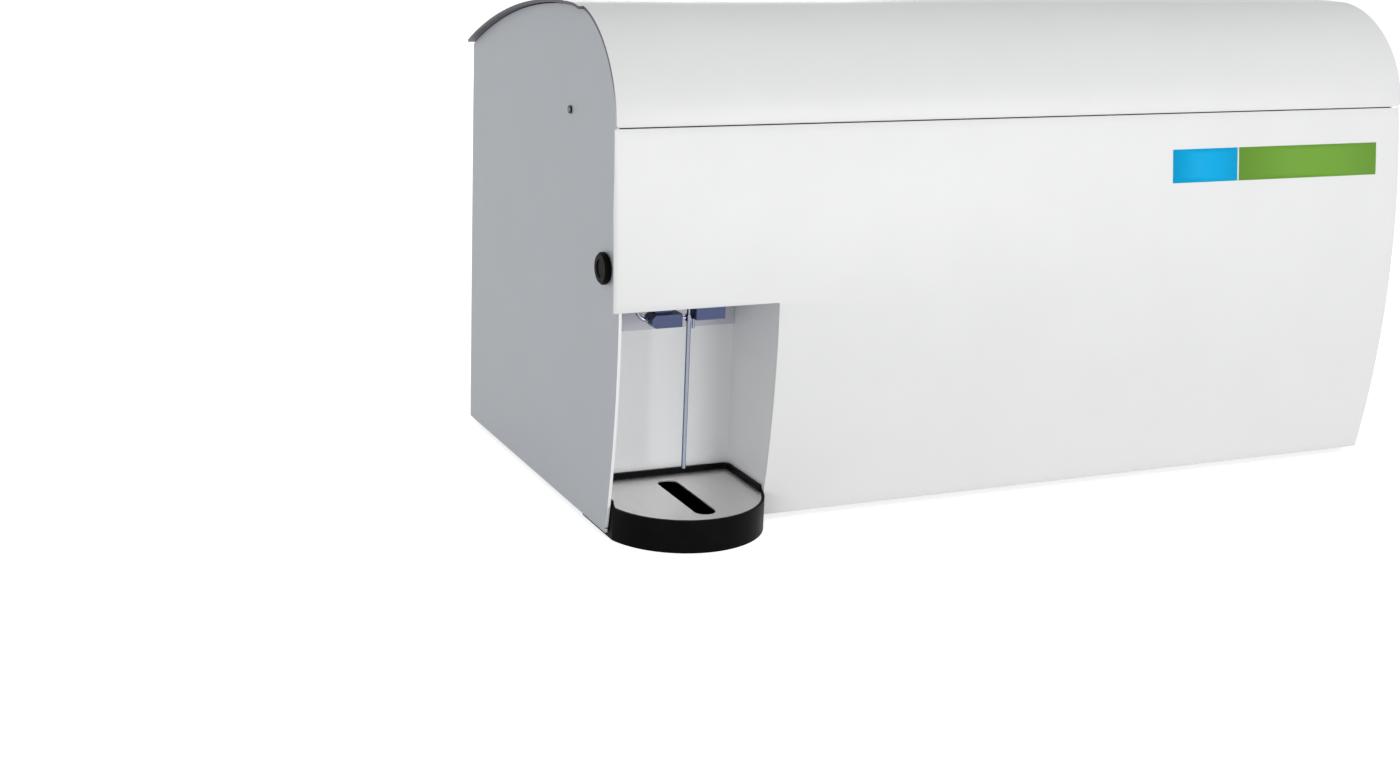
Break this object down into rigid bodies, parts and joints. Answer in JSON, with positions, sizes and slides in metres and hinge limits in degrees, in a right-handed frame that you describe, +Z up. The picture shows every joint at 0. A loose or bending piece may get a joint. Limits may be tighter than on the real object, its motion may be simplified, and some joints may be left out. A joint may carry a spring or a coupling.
{
  "type": "milk analyzer",
  "caption": "Benchtop milk analyzer: wide box with a curved hinged hood, curved front cover, open sampling bay with a hanging pipette, and a slotted drip tray.",
  "frame": {"origin": "on the bench, under the middle of the overall length, width and depth", "axes": "+X to the analyzer's right as seen from the front, +Y to its rear, +Z up; the front faces -Y"},
  "size_m": [0.9506, 0.5105, 0.5099],
  "materials": {
    "white_paint": "fine satin powder coat",
    "grey_paint": "fine satin powder coat",
    "bay_paint": "satin powder coat",
    "rail_paint": "satin powder coat",
    "black_plastic": "moulded, slightly glossy",
    "tray_steel": "brushed",
    "blue_anodised": "dark blue anodised",
    "black_oxide": "black oxide, slightly glossy",
    "polished_steel": "polished",
    "zinc_steel": "zinc plated",
    "rubber": "matt",
    "fittings_nickel": "nickel plated",
    "machined_aluminium": "machined",
    "black_anodised": "black anodised",
    "mirror_glass": "front-surface mirror",
    "gear_brass": "cut brass",
    "motor_black": "black enamel",
    "board_green": "solder resist",
    "grey_plastic": "moulded"
  },
  "bodies": {
    "casing": {"base_pan": "grey_paint", "bay_liner": "bay_paint", "beam_splitter_block": "machined_aluminium", "bench_mounts": "rubber", "connector_panel": "grey_paint", "control_board": "board_green", "data_ports": "black_plastic", "detector": "black_anodised", "fan_frame": "black_plastic", "fan_grille": "zinc_steel", "feet": "rubber", "fixed_hinge_leaves": "zinc_steel", "fixed_mirror": "black_anodised", "guide_rods": "polished_steel", "holder_rail": "rail_paint", "holder_tubes": "polished_steel", "homogenizer_valve": "fittings_nickel", "hose_ports": "fittings_nickel", "infrared_source": "black_anodised", "left_holder_block": "blue_anodised", "left_side_panel": "grey_paint", "mains_inlet": "black_plastic", "mirror_drive": "black_anodised", "nozzle_block": "blue_anodised", "optical_bench": "machined_aluminium", "panel_screws": "black_oxide", "peristaltic_housing": "grey_plastic", "peristaltic_motor": "black_plastic", "peristaltic_tube": "rubber", "pipette": "polished_steel", "pipette_clip": "polished_steel", "power_supply": "zinc_steel", "pump_frame": "machined_aluminium", "pump_head": "fittings_nickel", "pump_motor": "motor_black", "rear_panel": "grey_paint", "reference_laser": "black_anodised", "right_side_panel": "grey_paint", "sample_cell": "machined_aluminium", "sample_heater": "machined_aluminium", "tie_bar": "zinc_steel", "valve_coils": "motor_black", "valve_manifold": "machined_aluminium"},
    "hood": {"hood": "white_paint", "hood_hinge_leaves": "zinc_steel"},
    "front_cover": {"front_cover": "white_paint"},
    "left_knob": {"left_knob": "black_plastic"},
    "right_knob": {"right_knob": "black_plastic"},
    "drip_tray": {"drip_tray": "black_plastic"},
    "tray_plate": {"tray_plate": "tray_steel"},
    "fan_rotor": {"fan_rotor": "black_plastic"},
    "rocker_switch": {"rocker_switch": "black_plastic"},
    "pump_screw": {"ball_screw": "polished_steel", "drive_gear": "gear_brass"},
    "motor_pinion": {"motor_pinion": "gear_brass"},
    "crosshead": {"crosshead": "machined_aluminium"},
    "peristaltic_rotor": {"peristaltic_rotor": "grey_plastic", "peristaltic_rollers": "grey_plastic"},
    "mirror_carriage": {"mirror_carriage": "machined_aluminium", "moving_mirror": "mirror_glass"}
  },
  "joints": [
    {"name": "hood_hinge", "type": "hinge", "parent": "casing", "child": "hood", "pos_m": [0, 0.24365, 0.43634], "axis": [-1, 0, 0], "range_deg": [0, 65]},
    {"name": "front_cover_pull", "type": "slide", "parent": "casing", "child": "front_cover", "axis": [0, -1, 0], "range_m": [0, 0.12]},
    {"name": "left_knob_turn", "type": "hinge", "parent": "casing", "child": "left_knob", "pos_m": [-0.468, -0.17075, 0.2673], "axis": [-1, 0, 0], "continuous": true},
    {"name": "right_knob_turn", "type": "hinge", "parent": "casing", "child": "right_knob", "pos_m": [0.468, -0.17075, 0.2673], "axis": [1, 0, 0], "continuous": true},
    {"name": "drip_tray_slide", "type": "slide", "parent": "casing", "child": "drip_tray", "axis": [0, -1, 0], "range_m": [0, 0.16]},
    {"name": "tray_plate_lift", "type": "slide", "parent": "drip_tray", "child": "tray_plate", "axis": [0, 0, 1], "range_m": [0, 0.02]},
    {"name": "fan_spin", "type": "hinge", "parent": "casing", "child": "fan_rotor", "pos_m": [-0.15, 0.22725, 0.3], "axis": [0, 1, 0], "continuous": true},
    {"name": "switch_rock", "type": "hinge", "parent": "casing", "child": "rocker_switch", "pos_m": [0.3745, 0.23725, 0.07], "axis": [1, 0, 0], "range_deg": [0, 14]},
    {"name": "pump_screw_turn", "type": "hinge", "parent": "casing", "child": "pump_screw", "pos_m": [-0.175, 0.02125, 0.118], "axis": [0, 1, 0], "range_deg": [0, 1080]},
    {"name": "motor_pinion_turn", "type": "hinge", "parent": "casing", "child": "motor_pinion", "pos_m": [-0.175, 0.02125, 0.0697], "axis": [0, 1, 0], "range_deg": [-3245, 5]},
    {"name": "crosshead_slide", "type": "slide", "parent": "casing", "child": "crosshead", "axis": [0, -1, 0], "range_m": [0, 0.0301]},
    {"name": "peristaltic_spin", "type": "hinge", "parent": "casing", "child": "peristaltic_rotor", "pos_m": [-0.385, -0.01875, 0.17], "axis": [0, 1, 0], "continuous": true},
    {"name": "mirror_scan", "type": "slide", "parent": "casing", "child": "mirror_carriage", "axis": [-1, 0, 0], "range_m": [0, 0.008]}
  ],
  "couplings": [
    {"joint": "motor_pinion_turn", "follows": "pump_screw_turn", "ratio": -3},
    {"joint": "crosshead_slide", "follows": "pump_screw_turn", "m_per_rad": 0.0015915}
  ]
}
